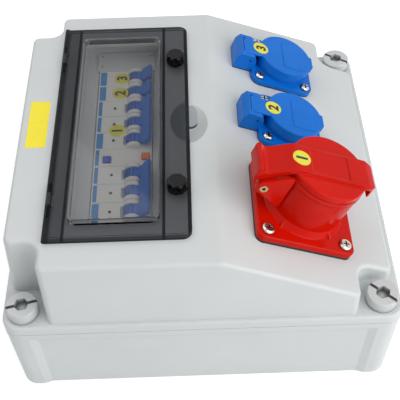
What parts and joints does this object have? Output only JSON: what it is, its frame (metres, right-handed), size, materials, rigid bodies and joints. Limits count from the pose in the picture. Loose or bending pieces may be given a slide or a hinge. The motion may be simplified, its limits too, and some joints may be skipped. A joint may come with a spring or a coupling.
{
  "type": "industrial socket box",
  "caption": "Grey wall-mounted distribution box with a smoked hinged door over circuit breakers and lidded domestic and three-phase sockets on its sloping face.",
  "frame": {"origin": "middle of the flat back face, which rests on the wall or lies on the floor", "axes": "+Z out of the cover, +X towards the sockets (down when hung on a wall), +Y towards the far side with the cable gland"},
  "size_m": [0.288, 0.309, 0.1825],
  "materials": {
    "housing_grey": "fine moulded grain",
    "screw_grey": "satin",
    "black_rubber": "matt",
    "smoke_dark": "polished, smoked",
    "smoke_clear": "polished, lightly smoked",
    "smoke_plastic": "satin, smoke coloured",
    "clear_tab": "polished, clear",
    "black_plastic": "satin",
    "panel_grey": "satin",
    "device_white": "satin",
    "toggle_blue": "satin",
    "button_orange": "satin",
    "button_blue": "satin",
    "blue_plastic": "satin",
    "red_plastic": "satin",
    "gland_grey": "satin",
    "steel": "zinc plated",
    "nickel": "nickel plated",
    "brass": "plain"
  },
  "bodies": {
    "enclosure": {"back_box": "housing_grey", "bar_feet": "black_plastic", "blanking_plate": "panel_grey", "breaker_1_body": "device_white", "breaker_2_body": "device_white", "breaker_3_body": "device_white", "cee_contact_carrier": "black_plastic", "cee_contacts": "brass", "cee_gasket": "black_rubber", "cee_hinge_pin": "nickel", "cee_housing": "red_plastic", "cee_lid_spring": "steel", "cee_rear_body": "black_plastic", "cee_screws": "nickel", "cover_screws": "screw_grey", "din_rail": "steel", "door_hinge_knuckles": "smoke_plastic", "door_hinge_pins": "steel", "door_seal": "black_rubber", "earth_bar": "brass", "front_cover": "housing_grey", "gland_body": "gland_grey", "gland_locknut": "gland_grey", "gland_nut": "gland_grey", "gland_seal": "black_rubber", "inner_panel": "panel_grey", "knob_inserts": "brass", "neutral_bar": "brass", "panel_screws": "steel", "rail_brackets": "steel", "rail_screws": "steel", "rcbo_body": "device_white", "rim_gasket": "black_rubber", "schuko_far_contacts": "brass", "schuko_far_gasket": "black_rubber", "schuko_far_housing": "blue_plastic", "schuko_far_insert": "blue_plastic", "schuko_hinge_pins": "steel", "schuko_lid_springs": "steel", "schuko_mid_contacts": "brass", "schuko_mid_gasket": "black_rubber", "schuko_mid_housing": "blue_plastic", "schuko_mid_insert": "blue_plastic", "schuko_screws": "nickel", "window_frame": "housing_grey"},
    "door": {"door_frame": "smoke_dark", "door_pane": "smoke_clear", "door_pull_tab": "clear_tab"},
    "knob_far": {"knob_far": "black_plastic"},
    "knob_near": {"knob_near": "black_plastic"},
    "schuko_far_lid": {"schuko_far_lid": "blue_plastic"},
    "schuko_mid_lid": {"schuko_mid_lid": "blue_plastic"},
    "cee_lid": {"cee_lid": "red_plastic", "cee_lid_seal": "black_rubber"},
    "breaker_1_toggle": {"breaker_1_toggle": "toggle_blue"},
    "breaker_2_toggle": {"breaker_2_toggle": "toggle_blue"},
    "breaker_3_toggle": {"breaker_3_toggle": "toggle_blue"},
    "rcbo_toggle": {"rcbo_toggle": "toggle_blue"},
    "rcbo_test_button": {"rcbo_test_button": "button_orange"},
    "rcbo_reset_button": {"rcbo_reset_button": "button_blue"}
  },
  "joints": [
    {"name": "door_hinge", "type": "hinge", "parent": "enclosure", "child": "door", "pos_m": [-0.10585, 0, 0.14855], "axis": [0, -1, 0], "range_deg": [0, 120]},
    {"name": "knob_far_turn", "type": "hinge", "parent": "door", "child": "knob_far", "pos_m": [-0.0151, 0.068, 0.1484], "axis": [0, 0, 1], "continuous": true},
    {"name": "knob_near_turn", "type": "hinge", "parent": "door", "child": "knob_near", "pos_m": [-0.0151, -0.068, 0.1484], "axis": [0, 0, 1], "continuous": true},
    {"name": "schuko_far_lid_hinge", "type": "hinge", "parent": "enclosure", "child": "schuko_far_lid", "pos_m": [0.04618, 0.084, 0.14424], "axis": [0, -1, 0], "range_deg": [0, 100], "stiffness_Nm_per_rad": 0.01, "springref_deg": -45.84},
    {"name": "schuko_mid_lid_hinge", "type": "hinge", "parent": "enclosure", "child": "schuko_mid_lid", "pos_m": [0.04711, 0.0145, 0.14386], "axis": [0, -1, 0], "range_deg": [0, 100], "stiffness_Nm_per_rad": 0.01, "springref_deg": -45.84},
    {"name": "cee_lid_hinge", "type": "hinge", "parent": "enclosure", "child": "cee_lid", "pos_m": [0.04405, -0.0705, 0.16717], "axis": [0, -1, 0], "range_deg": [0, 105], "stiffness_Nm_per_rad": 0.03, "springref_deg": -45.84},
    {"name": "breaker_3_switch", "type": "hinge", "parent": "enclosure", "child": "breaker_3_toggle", "pos_m": [-0.049, 0.0733, 0.1238], "axis": [0, -1, 0], "range_deg": [0, 90]},
    {"name": "breaker_2_switch", "type": "hinge", "parent": "enclosure", "child": "breaker_2_toggle", "pos_m": [-0.049, 0.0553, 0.1238], "axis": [0, -1, 0], "range_deg": [0, 90]},
    {"name": "breaker_1_switch", "type": "hinge", "parent": "enclosure", "child": "breaker_1_toggle", "pos_m": [-0.049, 0.0193, 0.1238], "axis": [0, -1, 0], "range_deg": [0, 90]},
    {"name": "rcbo_switch", "type": "hinge", "parent": "enclosure", "child": "rcbo_toggle", "pos_m": [-0.049, -0.0437, 0.1238], "axis": [0, -1, 0], "range_deg": [0, 90]},
    {"name": "test_push", "type": "slide", "parent": "enclosure", "child": "rcbo_test_button", "axis": [0, 0, -1], "range_m": [0, 0.0012], "stiffness_N_per_m": 400, "springref_m": -0.001},
    {"name": "reset_push", "type": "slide", "parent": "enclosure", "child": "rcbo_reset_button", "axis": [0, 0, -1], "range_m": [0, 0.0012], "stiffness_N_per_m": 400, "springref_m": -0.001}
  ]
}
